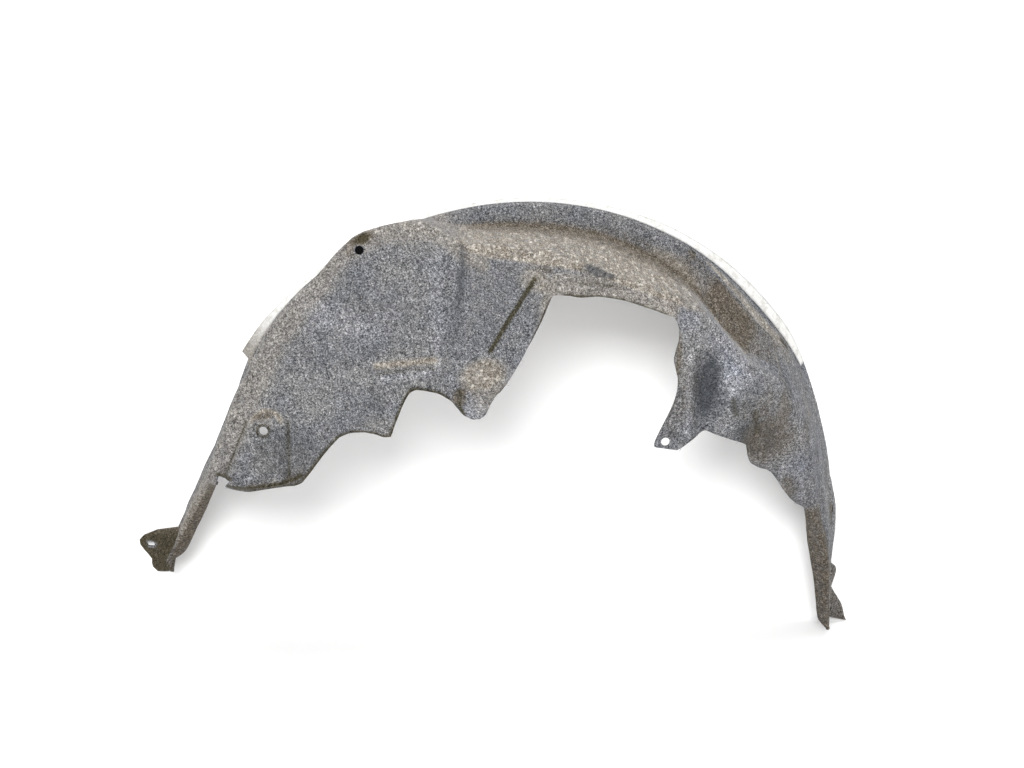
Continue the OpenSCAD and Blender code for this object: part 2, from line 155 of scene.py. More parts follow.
lip_shares = [
    (-16.8, 1.046), (-16.2, 1.036), (-14.2, 1.016), (-12.5, 0.985), (-11.5, 0.97), (-9.5, 0.973),
    (-8.2, 0.975), (-7.4, 0.968), (-7, 0.953), (-4, 0.953), (0, 0.956), (4, 0.957), (10, 0.947),
    (20, 0.958), (27, 0.972), (30, 0.98), (34, 0.992), (37.5, 1.0), (47, 1.006), (53, 1.01), (64, 1.012),
    (75, 1.007), (87, 1.002), (93, 0.998), (102, 0.994), (125, 0.995), (132, 0.998), (137, 1.002),
    (141, 1.006), (147.4, 1.005), (147.9, 0.978), (153.5, 0.964), (160, 0.965), (165, 0.973),
    (169.5, 0.993), (173, 1.009), (177, 1.038), (178.8, 1.06), (179.1, 1.125), (179.4, 1.158), (180, 1.182),
    (180.7, 1.18), (181.3, 1.163), (182, 1.15), (182.7, 1.153), (183.3, 1.138),
]
sweep_angles = [
    (-16.8, 0), (176, 0), (179, 1.4), (183.3, 4),
]

panel_columns = 46
shoulder_columns = 9
crown_columns = 11
crease_columns = 7
wall_columns = 5
rim_columns = 5
lip_columns = 4


def read(table, angle):
    return np.interp(angle, [row[0] for row in table], [row[1] for row in table])


def read_smooth(table, angle, spread=1.2):
    taps = [(-1, 1), (-0.5, 2), (0, 3), (0.5, 2), (1, 1)]
    return sum(weight * read(table, angle + spread * shift) for shift, weight in taps) / 9


def ease(t):
    t = np.clip(t, 0, 1)
    return t * t * (3 - 2 * t)


def bend(before, corner, after, radius, steps, back_share=bend_leg_share):
    """A rounded corner at every station, as (stations, steps + 1, 2)."""
    back = before - corner
    ahead = after - corner
    back_length = np.linalg.norm(back, axis=1)
    ahead_length = np.linalg.norm(ahead, axis=1)
    back = back / back_length[:, None]
    ahead = ahead / ahead_length[:, None]
    half = np.arccos(np.clip((back * ahead).sum(1), -0.999, 0.999)) / 2
    leg = np.minimum(back_share * back_length, bend_leg_share * ahead_length)
    cut = np.minimum(radius / np.tan(half), leg)[:, None]
    start = (corner + cut * back)[:, None, :]
    end = (corner + cut * ahead)[:, None, :]
    t = np.linspace(0, 1, steps + 1)[None, :, None]
    return (1 - t) ** 2 * start + 2 * t * (1 - t) * corner[:, None, :] + t ** 2 * end


def between(start, end, shares):
    """Points on the straight run from start to end, at the given shares of the way."""
    t = np.asarray(shares)[None, :, None]
    return (1 - t) * start[:, None, :] + t * end[:, None, :]


def inner_shares(count):
    return np.linspace(0, 1, count + 2)[1:-1]


corner_angles = [row[0] for row in edge_shares]
stations = []
for first, second in zip(corner_angles[:-1], corner_angles[1:]):
    parts = max(1, math.ceil((second - first) / station_gap))
    stations.extend(first + (second - first) * k / parts for k in range(parts))
stations = np.array(stations + [corner_angles[-1]])

edge_reach = read_smooth(edge_shares, stations, 0.4)
depth = inner_depth * read_smooth(depth_shares, stations)
corners = [
    np.stack([arch_radius * edge_reach, -depth * (1 - read(lean_shares, stations))], 1),
    np.stack([arch_radius * read_smooth(shoulder_shares, stations), -depth], 1),
    np.stack([arch_radius * read_smooth(crease_shares, stations),
              -inner_depth * read_smooth(crease_depth_shares, stations)], 1),
    np.stack([arch_radius * read_smooth(wall_shares, stations),
              -inner_depth * read_smooth(wall_depth_shares, stations)], 1),
    np.stack([arch_radius * read_smooth(rim_shares, stations), np.full(len(stations), -rim_back / 2)], 1),
    np.stack([arch_radius * read(lip_shares, stations), np.full(len(stations), rim_back / 2)], 1),
]
leg_round = ease((stations - 163) / 4) * ease((180 - stations) / 3)
shoulder_bend = shoulder_radius * (read(bend_shares, stations) + 0.6 * leg_round)
shoulder = bend(*corners[0:3], shoulder_bend, shoulder_columns, bend_leg_share + 0.5 * leg_round)
crease = bend(*corners[1:4], crease_radius, crease_columns)
wall = bend(*corners[2:5], crease_radius, crease_columns)
rim = bend(*corners[3:6], rim_radius, rim_columns)
panel_shares = np.linspace(0, 1, panel_columns + 1)[:-1] ** 1.15
groups = [
    (between(corners[0], shoulder[:, 0], panel_shares), 0, 0),
    (shoulder, 0, 0.25),
    (between(shoulder[:, -1], crease[:, 0], inner_shares(crown_columns)), 0.27, 0.41),
    (crease, 0.42, 0.58),
    (between(crease[:, -1], wall[:, 0], inner_shares(wall_columns)), 0.6, 0.65),
    (wall, 0.67, 0.75),
    (between(wall[:, -1], rim[:, 0], inner_shares(wall_columns)), 0.77, 0.82),
    (rim, 0.83, 0.92),
    (between(rim[:, -1], corners[5], inner_shares(lip_columns)), 0.93, 0.99),
    (corners[5][:, None, :], 1, 1),
]
section = np.concatenate([points for points, low, high in groups], 1)
along = np.concatenate([np.linspace(low, high, points.shape[1]) for points, low, high in groups])
station_count, column_count = section.shape[:2]

turn = np.radians(stations[:, None] + read(sweep_angles, stations)[:, None] * ease(along)[None, :])
radius = section[:, :, 0]
skin = np.stack([radius * np.cos(turn), section[:, :, 1], radius * np.sin(turn)], 2)

# Pressed forms
# The tool raises or sinks the felt by a few millimetres over the panel: a round-topped pad, a small step,
# a soft fold, a slanting flange with a round boss at its foot, a rolled hem over the strut cut-out, and a
# hollow and upright flutes beside the front tab. Places are shares of the arch radius.
pad_height = 0.005
pad_bank = 0.0143
step_height = 0.004
fold_depth = 0.004
flange_height = 0.015
boss_height = 0.022
button_height = 0.0012
hem_height = 0.005
groove_depth = 0.0012
hollow_depth = 0.01
ridge_height = 0.003
flute_height = 0.0025

x = skin[:, :, 0] / arch_radius
z = skin[:, :, 2] / arch_radius
share = radius / arch_radius
edge_distance = share - edge_reach[:, None]
angle = np.broadcast_to(stations[:, None], share.shape)


def hump(t):
    return ease(1 - np.abs(t))


def within(t, low, high, bank):
    """Full between two limits, and gone one bank outside them."""
    return ease((t - low) / bank) * ease((high - t) / bank)


def near(distance, width):
    """Full where the distance is nothing, and gone one width away."""
    return np.clip(1 - np.abs(distance) / width, 0, 1)


def hull_distance(discs):
    """Distance outside the outline round some discs, each a place and a radius. Negative inside."""
    turns = np.linspace(0, 2 * math.pi, 49)[:-1]
    far = np.full(x.shape, -9.0)
    for turn_out in turns:
        out = (math.cos(turn_out), math.sin(turn_out))
        reach = max(place[0] * out[0] + place[1] * out[1] + size for place, size in discs)
        far = np.maximum(far, x * out[0] + z * out[1] - reach)
    return far


pad_top = (-0.677, 0.436)
pad_away = hull_distance([(pad_top, 0.038), ((-0.769, 0.286), 0.012), ((-0.653, 0.29), 0.012)])
pad_form = pad_height * ease(1 - pad_away / pad_bank)

step_start = (-0.393, 0.587)
step_end = (-0.231, 0.602)
step_run = (x - step_start[0]) / (step_end[0] - step_start[0])
step_line = step_start[1] + step_run * (step_end[1] - step_start[1])
step_reach = within(x, step_start[0], step_end[0], 0.018)
step_form = step_height * ease((step_line - z) / 0.018) * step_reach

fold_line = -0.21 + (z - 0.58) / 0.34 * 0.02
fold_form = -fold_depth * ease((x - fold_line) / 0.06 + 0.5)
fold_form = fold_form * ease((0.2 - x) / 0.2) * ease((z - 0.51) / 0.2)

flange_top = np.array([0.063, 0.787])
flange_foot = np.array([-0.046, 0.556])
flange_width = 0.07
flange_way = (flange_foot - flange_top) / np.linalg.norm(flange_foot - flange_top)
flange_run = (x - flange_top[0]) * flange_way[0] + (z - flange_top[1]) * flange_way[1]
flange_off = (x - flange_top[0]) * flange_way[1] - (z - flange_top[1]) * flange_way[0]
flange_form = flange_height * ease(1 - flange_off / flange_width)
flange_form = flange_form * within(flange_run, -0.084, 0.36, 0.07) * ease((0.2 - x) / 0.07)

boss_place = (-0.13, 0.49)
boss_away = np.hypot((x - boss_place[0]) / 1.15, z - boss_place[1])
boss_form = boss_height * ease((0.11 - boss_away) / 0.08)
button_form = button_height * ease((0.03 - boss_away) / 0.006)

over_cutout = within(angle, 60, 90, 4)
hem_form = hem_height * ease(1 - edge_distance / 0.035) * over_cutout
hem_groove = near(edge_distance - 0.03, 0.011) * within(angle, 62, 92, 5)

tab_ridge = 0.43
hollow_form = -hollow_depth * hump((x - tab_ridge - 0.045) / 0.045) * ease((0.72 - z) / 0.15)
ridge_form = ridge_height * hump((x - tab_ridge) / 0.018)
ridge_form = ridge_form * ease((z - 0.4) / 0.06) * ease((0.66 - z) / 0.1)

flute_wave = np.cos(2 * math.pi * (x - 0.56) / 0.085)
flute_reach = ease((x - 0.5) / 0.06) * ease((0.81 - share) / 0.06) * ease((0.62 - z) / 0.06)
flute_form = flute_height * flute_wave * flute_reach * ease((angle - 10) / 4)

raised = np.maximum(flange_form, boss_form) + pad_form + step_form + fold_form + hem_form + button_form
raised = raised + hollow_form + ridge_form + flute_form - groove_depth * hem_groove
raised = raised * ease(1 - along / 0.25)[None, :]
skin[:, :, 1] -= raised

# Dust, dirt, painted shade and painted highlight
# Road dust has settled on what faces up and brown dirt has caught in the creases, the long hollow and the
# feet. Painted shade darkens the hollow, the fold, the flutes, creases, banks, lower edges and the rear end
# tab, painted highlight lightens ridges, rims and the pad's top, and the turned lip is painted near white as
# a highlight. Each is a value from 0 to 1 at every point of the skin.


def patch(at, reach, tilt=0):
    """A soft oval stain, full at its middle: its place and half sizes are shares of the arch radius."""
    c, s = math.cos(math.radians(tilt)), math.sin(math.radians(tilt))
    u = ((x - at[0]) * c + (z - at[1]) * s) / reach[0]
    v = ((z - at[1]) * c - (x - at[0]) * s) / reach[1]
    return ease(1.5 - np.hypot(u, v))


def stroke(places, width):
    """A line along some places, full on the line and gone one width away from it."""
    away = np.full(x.shape, 9.0)
    for (x0, z0), (x1, z1) in zip(places[:-1], places[1:]):
        length = (x1 - x0) ** 2 + (z1 - z0) ** 2
        t = np.clip(((x - x0) * (x1 - x0) + (z - z0) * (z1 - z0)) / length, 0, 1)
        away = np.minimum(away, np.hypot(x - x0 - t * (x1 - x0), z - z0 - t * (z1 - z0)))
    return np.clip(1 - away / width, 0, 1)


def band(low, high, soft):
    """Full between two station angles, fading over soft degrees outside them."""
    return ease((angle - low) / soft + 1) * ease((high - angle) / soft + 1)


def columns(low, high, soft=0.04):
    """Full between two places along the section, from 0 at the panel to 1 at the lip."""
    return (ease((along - low) / soft + 1) * ease((high - along) / soft + 1))[None, :]


def most(*layers):
    result = np.zeros(x.shape)
    for layer in layers:
        result = np.maximum(result, layer)
    return result


on_panel = columns(0, 0.12, 0.12)
on_crown = columns(0.1, 0.5, 0.1)
under_shoulder = share[:, panel_columns:panel_columns + 1] - share
by_shoulder = ease(1 - under_shoulder / 0.065) * columns(0, 0.5, 0.07)
# A band along the panel's cut edge, used for a dark edge line: compressed felt, and painted shade under the
# lower edges.
cut_line = near(edge_distance, 0.011) * on_panel
pad_hole = (-0.686, 0.422)
pad_hole_away = np.hypot(x - pad_hole[0], z - pad_hole[1])
# Painted highlight along the pad's upper rim, and painted shade along its lower banks and beside it.
pad_rim_highlight = near(pad_away - 0.001, 0.013) * ease((z - 0.43) / 0.02)
pad_front_crease_shade = near(pad_away - 0.016, 0.014) * ease((x + 0.69) / 0.04) * ease((0.49 - z) / 0.05)
pad_rear_crease_shade = near(pad_away - 0.014, 0.009) * ease((-0.69 - x) / 0.02) * ease((0.47 - z) / 0.03)
pad_front_shade = near(pad_away - 0.025, 0.03) * ease((x + 0.66) / 0.05) * ease((0.49 - z) / 0.05)
# Along the pad's lower cut edge: brown dirt, and painted shade under the edge.
low_edge_dirt_and_shade = [(-0.8, 0.27), (-0.75, 0.265), (-0.7, 0.271), (-0.65, 0.279), (-0.61, 0.289), (-0.592, 0.3)]
# Painted highlight and painted shade in upright stripes over the front flank, for the crests and valleys of
# the low flutes.
front_flank = band(8, 36, 5) * columns(0.0, 0.7, 0.1) * ease((x - 0.6) / 0.06)
flute_light_and_shade = 0.5 + 0.5 * np.cos(2 * math.pi * (x + 0.25 * z) / 0.047 + 3 * np.sin(9 * z))
flute_light_and_shade = flute_light_and_shade * front_flank
# Dust on what faces up, and the pad's upper rim as a painted highlight in dust colour.
dust_and_highlight = most(
    on_crown * band(66, 96, 12),
    0.55 * by_shoulder * band(97, 117, 2),
    0.5 * by_shoulder * band(117, 163, 4),
    0.55 * stroke([(-0.36, 0.95), (-0.27, 0.965), (-0.24, 0.955)], 0.11),
    0.8 * columns(0.9, 1, 0.03) * band(141, 147.4, 3),
    0.35 * on_crown * band(44, 60, 3),
    0.75 * columns(0.76, 0.8, 0.03) * band(38, 56, 2),
    0.55 * stroke([(0.72, 0.62), (0.7, 0.53), (0.682, 0.44)], 0.014),
    0.5 * patch((0.02, 0.815), (0.05, 0.035), -20),
    0.7 * patch((0.43, 0.79), (0.1, 0.05), -35),
    0.6 * patch((0.36, 0.77), (0.05, 0.09), 0),
    0.5 * patch((0.75, 0.575), (0.03, 0.05), 30),
    0.75 * patch((-0.11, 0.57), (0.065, 0.042), 15),
    0.5 * patch((-0.09, 0.525), (0.06, 0.05), 15),
    0.9 * stroke([(-0.388, 0.592), (-0.237, 0.607)], 0.02),
    0.55 * over_cutout * ease((0.075 - edge_distance) / 0.03),
    0.6 * patch((0.03, 0.815), (0.05, 0.03), -30),
    0.5 * patch((0.685, 0.45), (0.02, 0.06), 12),
    0.4 * patch((-0.69, 0.44), (0.035, 0.03)),
    # Painted highlight in dust colour along the pad's upper rim.
    pad_rim_highlight,
    0.65 * columns(0.1, 0.45, 0.06) * band(163, 179, 3),
    0.3 * patch((-0.62, 0.34), (0.16, 0.05), -10),
    0.35 * patch((-0.36, 0.42), (0.14, 0.05), 10),
    0.3 * patch((-0.77, 0.42), (0.03, 0.12), -20),
)
# Brown dirt in the creases, the trough, on the legs and by the ear's hole, with painted shade among it: round
# the clip holes, under the pad's lower edge and on the rear end tab.
mud_and_shade = most(
    0.75 * columns(0.42, 0.56, 0.1) * band(66, 96, 11),
    0.5 * columns(0.56, 0.6, 0.08) * band(56, 75, 6),
    0.85 * columns(0.42, 0.64, 0.1) * band(46, 53, 7),
    0.8 * columns(0.4, 0.56, 0.08) * band(54, 64, 4),
    0.5 * columns(0.5, 0.66, 0.06) * band(40, 60, 4),
    0.8 * patch((-0.428, 0.928), (0.042, 0.024), 22) * on_panel,
    0.55 * patch((-0.455, 0.9), (0.03, 0.03), 45) * on_panel,
    0.6 * patch((0.05, 0.842), (0.03, 0.01), -8),
    0.6 * patch((0.76, 0.245), (0.05, 0.12), -32) * (1 - ease((edge_distance - 0.02) / 0.05)),
    0.7 * patch((-0.172, 0.518), (0.022, 0.03), -20),
    0.65 * patch((-0.685, 0.462), (0.035, 0.012), 10),
    0.6 * stroke(low_edge_dirt_and_shade, 0.04),
    0.2 * patch((-0.62, 0.35), (0.1, 0.07), 15) * on_panel,
    # Painted shade: dark spots round two clip holes, where the holes show dark.
    0.8 * patch((0.92, 0.062), (0.02, 0.03), 0) * columns(0.78, 0.82, 0.02),
    0.8 * patch((0.488, 0.838), (0.014, 0.014), 0) * columns(0.6, 0.85),
    0.5 * columns(0.9, 1, 0.03) * band(145.5, 147.4, 1.5),
    0.75 * stroke([(0.396, 0.67), (0.398, 0.6), (0.385, 0.53)], 0.024),
    0.4 * patch((0.6, 0.66), (0.05, 0.03), -50),
    0.75 * band(-17, 8, 3) * (1 - columns(0.36, 1, 0.08)),
    0.6 * band(-17, -6, 4),
    0.85 * band(163, 184, 1.5) * (1 - columns(0.12, 1, 0.05)),
    0.45 * band(165, 178, 3),
    # Painted shade with dirt on the rear end tab.
    ease((angle - 178.2) / 0.8) * columns(0.7, 1),
    0.6 * ease((angle - 176) / 4),
    0.6 * patch((0.655, 0.37), (0.09, 0.1), -35) * on_panel,
    0.5 * patch((0.63, 0.47), (0.035, 0.07), -20),
    0.45 * patch((0.78, 0.4), (0.03, 0.09), -25),
    0.35 * band(6, 14, 5) * (1 - columns(0.3, 1, 0.1)),
    0.45 * patch((0.4, 0.5), (0.05, 0.12), -15) * on_panel,
    0.55 * patch((0.7, 0.47), (0.022, 0.06), 8),
)
# Dark lines: dirt caught in grooves and creases and a stain by the ear's hole, and painted shade under the
# step, along the pad's banks and the lower cut edges, round the pad's hole and the clip holes, between the
# flutes and on the rear end tab.
line = most(
    0.5 * hem_groove * within(angle, 70, 84, 3),
    0.9 * stroke([(-0.812, 0.303), (-0.776, 0.292)], 0.013),
    stroke([(0.022, 0.818), (0.005, 0.79), (-0.057, 0.69), (-0.092, 0.63)], 0.013),
    0.7 * patch((-0.42, 0.922), (0.026, 0.014), 20) * on_panel,
    patch((0.763, 0.576), (0.012, 0.02), 35) * columns(0.79, 0.82, 0.01),
    0.6 * ease((angle - 178.6) / 0.8) * columns(0.5, 1),
    0.8 * stroke([(-0.168, 0.535), (-0.174, 0.505), (-0.16, 0.475)], 0.014),
    0.6 * stroke([(-0.385, 0.573), (-0.24, 0.588)], 0.012),
    0.3 * cut_line * band(-16, 60, 1),
    0.75 * cut_line * band(64, 82, 2) + 0.3 * cut_line * band(82, 112, 1),
    0.85 * near(edge_distance, 0.02) * on_panel * band(112, 162, 3),
    0.9 * stroke(low_edge_dirt_and_shade, 0.013),
    0.85 * near(pad_hole_away - 0.0155, 0.008) * on_panel,
    0.9 * patch((0.921, 0.06), (0.009, 0.014), 0) * columns(0.79, 0.82, 0.01),
    0.65 * pad_front_crease_shade,
    0.7 * pad_rear_crease_shade,
    0.6 * stroke([(0.543, 0.5), (0.552, 0.46)], 0.022),
    0.5 * stroke([(0.572, 0.49), (0.58, 0.44)], 0.018),
    0.6 * stroke([(0.61, 0.46), (0.618, 0.4)], 0.018),
)
# Painted shade: darker blue-grey felt in the hollow beside the front tab, along the fold, between the flutes,
# over the panel's lower part, beside the pad and along the rim bend. A few dark stains are among it.
shade = most(
    patch((0.478, 0.535), (0.026, 0.085), -8),
    0.55 * patch((0.476, 0.55), (0.05, 0.12), -8),
    0.6 * patch((0.5, 0.49), (0.035, 0.06), -15),
    0.85 * patch((0.625, 0.385), (0.07, 0.06), -20),
    0.75 * patch((0.2, 0.838), (0.06, 0.02), -10) * columns(0, 0.1, 0.3),
    0.5 * patch((0.255, 0.827), (0.04, 0.016), -15) * columns(0, 0.1, 0.3),
    0.7 * stroke([(-0.163, 0.9), (-0.166, 0.82), (-0.172, 0.76)], 0.024),
    0.5 * stroke([(-0.172, 0.76), (-0.185, 0.67), (-0.195, 0.62)], 0.024),
    0.4 * stroke([(-0.205, 0.9), (-0.215, 0.82)], 0.025),
    0.35 * patch((-0.44, 0.8), (0.03, 0.09), -10),
    0.5 * patch((0.552, 0.488), (0.022, 0.05), -20),
    0.6 * patch((0.708, 0.52), (0.022, 0.035), 35),
    0.5 * patch((0.605, 0.44), (0.016, 0.06), -15),
    0.4 * patch((0.8, 0.49), (0.02, 0.06), -30),
    0.4 * patch((-0.39, 0.5), (0.03, 0.05), 0),
    0.5 * patch((-0.62, 0.36), (0.1, 0.09), -10),
    0.35 * pad_front_shade * on_panel,
    0.35 * patch((-0.72, 0.38), (0.012, 0.09), -15),
    0.4 * patch((0.72, 0.5), (0.08, 0.1), -30),
    0.2 * columns(0.15, 0.8, 0.1) * band(12, 40, 4),
    0.5 * ease(0.5 - flute_light_and_shade) * front_flank,
    0.3 * patch((0.6, 0.5), (0.1, 0.14), -30),
    0.5 * patch((0.64, 0.44), (0.05, 0.06), -30),
    0.45 * patch((0.7, 0.56), (0.03, 0.05), -30),
    0.35 * band(-4, 12, 5) * columns(0.0, 0.5, 0.1),
    0.25 * columns(0.6, 0.66, 0.1) * band(60, 100, 6),
    0.4 * columns(0.84, 0.92, 0.03) * band(33, 146, 2),
)
# Painted highlight: lighter felt on the tab ridge, on the flute crests, on the pad's upper rim, round the
# boss, below the step, on the outer rim and beside the hollow, with a few lighter worn patches among it.
light = most(
    patch((0.525, 0.64), (0.065, 0.065), -20),
    0.55 * patch((0.54, 0.54), (0.02, 0.05), -10),
    0.5 * patch((-0.49, 0.715), (0.12, 0.035), -25),
    0.55 * stroke([(-0.213, 0.9), (-0.235, 0.765), (-0.228, 0.625)], 0.022),
    0.85 * stroke([(0.428, 0.63), (0.427, 0.5), (0.423, 0.42)], 0.016),
    0.5 * columns(0.84, 1, 0.03) * band(-14, 31, 2),
    0.5 * patch((0.52, 0.46), (0.03, 0.05), 0),
    0.8 * pad_rim_highlight,
    0.7 * stroke([(-0.38, 0.558), (-0.24, 0.574)], 0.018),
    0.6 * stroke([(-0.231, 0.58), (-0.231, 0.63)], 0.016),
    0.7 * near(boss_away - 0.014, 0.018),
    0.6 * patch((0.565, 0.53), (0.016, 0.07), -15),
    0.55 * patch((0.64, 0.4), (0.014, 0.07), -10),
    patch((0.54, 0.57), (0.055, 0.08), -25),
    0.55 * flute_light_and_shade,
    0.4 * columns(0.1, 0.5, 0.1) * band(30, 62, 4),
    0.4 * patch((0.5, 0.72), (0.04, 0.08), -30),
    0.4 * patch((0.3, 0.81), (0.05, 0.03), -10),
    0.4 * patch((0.42, 0.72), (0.05, 0.05), -10),
)
# Painted highlight: the turned lip is made near white. It fades out towards the lip's rear end, and a little
# at its outer edge, as painted shade.
lip_highlight = columns(0.93, 1, 0.02) * band(31.5, 147.4, 0.4) * (1 - 0.8 * ease((angle - 137) / 10))
lip_highlight = lip_highlight * (1 - 0.45 * columns(0.995, 1, 0.004))
clean = 1 - np.clip(most(1.2 * mud_and_shade, 1.5 * line, 1.2 * shade, lip_highlight), 0, 1)
grit = most(0.6 * dust_and_highlight * columns(0.2, 0.5, 0.05), 0.8 * mud_and_shade * columns(0.4, 0.62, 0.05), 0.03)

liner_mesh = bpy.data.meshes.new("liner_sheet")
index = np.arange(station_count * column_count).reshape(station_count, column_count)
faces = np.stack([index[:-1, :-1], index[:-1, 1:], index[1:, 1:], index[1:, :-1]], 2).reshape(-1, 4)
liner_mesh.from_pydata(skin.reshape(-1, 3).tolist(), [], faces.tolist())
layers = {"dust_and_highlight": dust_and_highlight, "mud_and_shade": mud_and_shade, "line": line, "shade": shade, "light": light, "lip_highlight": lip_highlight, "grit": grit,
          "clean": clean}
for name, values in layers.items():
    layer = liner_mesh.attributes.new(name, "FLOAT", "POINT")
    layer.data.foreach_set("value", np.clip(values, 0, 1).astype(np.float32).ravel())
liner_mesh.update()
liner_mesh.polygons.foreach_set("use_smooth", [True] * len(liner_mesh.polygons))
liner_sheet = add_object("liner_sheet", liner_mesh)

# Felt
# Grey polyester felt with lighter and darker fibres, matted by the press, dusty on its upper faces.
# The fibres are drawn along the way the tool presses, so the grain stays visible on the steep faces.
felt = bpy.data.materials.new("felt")
felt.use_nodes = True
nodes = felt.node_tree.nodes
links = felt.node_tree.links
shader = nodes["Principled BSDF"]
shader.inputs["Roughness"].default_value = 0.95
shader.inputs["Specular IOR Level"].default_value = 0.08
shader.inputs["Sheen Weight"].default_value = 0.04
shader.inputs["Sheen Roughness"].default_value = 0.6


def noise(scale, detail, rough, drawn=(1, 1, 1), turn_degrees=0):
    """Noise on the object's own coordinates, drawn out along axes turned about Y."""
    mapping = nodes.new("ShaderNodeMapping")
    mapping.vector_type = "TEXTURE"
    mapping.inputs["Rotation"].default_value = (0, math.radians(turn_degrees), 0)
    mapping.inputs["Scale"].default_value = drawn
    links.new(place.outputs["Object"], mapping.inputs["Vector"])
    node = nodes.new("ShaderNodeTexNoise")
    node.inputs["Scale"].default_value = scale
    node.inputs["Detail"].default_value = detail
    node.inputs["Roughness"].default_value = rough
    links.new(mapping.outputs["Vector"], node.inputs["Vector"])
    return node.outputs["Fac"]


def ramp(value, stops):
    node = nodes.new("ShaderNodeValToRGB")
    while len(node.color_ramp.elements) < len(stops):
        node.color_ramp.elements.new(0.5)
    for element, (at, colour) in zip(node.color_ramp.elements, stops):
        element.position = at
        element.color = (*colour, 1)
    links.new(value, node.inputs["Fac"])
    return node.outputs["Color"]


def math_node(operation, first, second, third=None):
    node = nodes.new("ShaderNodeMath")
    node.operation = operation
    for socket, value in zip(node.inputs, (first, second, third)):
        if value is None:
            continue
        if isinstance(value, (int, float)):
            socket.default_value = value
        else:
            links.new(value, socket)
    return node.outputs["Value"]


def mix(factor, first, second, blend="MIX"):
    node = nodes.new("ShaderNodeMix")
    node.data_type = "RGBA"
    node.blend_type = blend
    for socket, value in zip((node.inputs[0], node.inputs[6], node.inputs[7]), (factor, first, second)):
        if isinstance(value, (int, float)):
            socket.default_value = value
        elif isinstance(value, tuple):
            socket.default_value = (*value, 1)
        else:
            links.new(value, socket)
    return node.outputs[2]


def layer_value(name):
    node = nodes.new("ShaderNodeAttribute")
    node.attribute_name = name
    return node.outputs["Fac"]


def grey(value):
    return (value, value, value)


def worn(name, blots, raggedness, low, high):
    """A layer with a ragged edge: the layer's value plus blots, cut off softly between low and high."""
    shift = math_node("MULTIPLY_ADD", blots, raggedness, -raggedness / 2)
    value = math_node("ADD", layer_value(name), shift)
    node = nodes.new("ShaderNodeMapRange")
    node.interpolation_type = "SMOOTHSTEP"
    node.inputs["From Min"].default_value = low
    node.inputs["From Max"].default_value = high
    links.new(value, node.inputs["Value"])
    strength = math_node("MINIMUM", 1.0, math_node("MULTIPLY", layer_value(name), 1.6))
    return math_node("MULTIPLY", node.outputs["Result"], strength)


place = nodes.new("ShaderNodeTexCoord")
strands = math_node("ADD", math_node("MULTIPLY", noise(1250, 2, 0.6, (2.8, 7, 1), 62), 0.3),
                    math_node("MULTIPLY", noise(1250, 2, 0.6, (2.8, 7, 1), -28), 0.3))
specks = math_node("ADD", math_node("MULTIPLY", noise(1200, 2, 0.6, (2.2, 30, 1), 15), 0.2),
                   math_node("MULTIPLY", noise(800, 3, 0.75, (1, 7, 1)), 0.2))
grain = math_node("ADD", strands, specks)
clouds = noise(26, 3, 0.6, (1, 2, 1))
clumps = noise(170, 2, 0.6, (1.6, 5, 1), 55)
blots = noise(130, 4, 0.75, (1, 4, 1))
crust = noise(330, 3, 0.7, (1.4, 6, 1))
streaks = noise(380, 3, 0.7, (1, 30, 1.6))
felt_colour = ramp(grain, [(0.41, (0.014, 0.015, 0.018)), (0.47, (0.064, 0.066, 0.071)),
                           (0.53, (0.145, 0.146, 0.15)), (0.6, (0.33, 0.33, 0.335))])
cloud_tone = ramp(clouds, [(0.32, (0.84, 0.86, 0.92)), (0.68, (1.14, 1.12, 1.08))])
felt_colour = mix(1.0, felt_colour, cloud_tone, "MULTIPLY")
clump_tone = ramp(clumps, [(0.38, grey(0.88)), (0.62, grey(1.1))])
felt_colour = mix(1.0, felt_colour, clump_tone, "MULTIPLY")
# Painted highlight: a lightened copy of the felt, mixed in by the light layer.
lit_colour = mix(1.0, felt_colour, (1.9, 1.9, 1.95), "MULTIPLY")
felt_colour = mix(math_node("MULTIPLY", layer_value("light"), 0.7), felt_colour, lit_colour)
dust_and_highlight_colour = ramp(grain, [(0.41, (0.06, 0.052, 0.043)), (0.48, (0.15, 0.136, 0.117)),
                           (0.53, (0.235, 0.217, 0.19)), (0.6, (0.4, 0.377, 0.338))])
damp_dust = mix(1.0, dust_and_highlight_colour, (0.76, 0.71, 0.66), "MULTIPLY")
dust_and_highlight_colour = mix(ramp(blots, [(0.42, grey(1)), (0.56, grey(0))]), dust_and_highlight_colour, damp_dust)
dust_and_highlight_colour = mix(ramp(crust, [(0.54, grey(0)), (0.66, grey(0.7))]), dust_and_highlight_colour, (0.52, 0.49, 0.44))
mud_and_shade_colour = ramp(grain, [(0.4, (0.018, 0.0145, 0.01)), (0.5, (0.066, 0.054, 0.04)),
                          (0.61, (0.19, 0.164, 0.13))])
line_colour = ramp(grain, [(0.42, (0.008, 0.007, 0.003)), (0.6, (0.06, 0.052, 0.03))])
shade_colour = ramp(grain, [(0.4, (0.01, 0.0115, 0.014)), (0.6, (0.075, 0.08, 0.089))])
lip_highlight_colour = ramp(blots, [(0.38, (0.5, 0.49, 0.46)), (0.52, (0.64, 0.637, 0.625))])
colour = mix(worn("dust_and_highlight", blots, 0.8, 0.0, 0.9), felt_colour, dust_and_highlight_colour)
# Painted shade: dark blue-grey felt where the shade layer is.
colour = mix(math_node("MULTIPLY", worn("shade", blots, 0.9, 0.0, 0.9), 0.92), colour, shade_colour)
colour = mix(worn("mud_and_shade", blots, 0.9, 0.0, 1.0), colour, mud_and_shade_colour)
# Dark lines: dirt in creases, and painted shade along creases, banks and lower edges.
colour = mix(math_node("MULTIPLY", worn("line", blots, 0.5, 0.05, 0.85), 0.95), colour, line_colour)
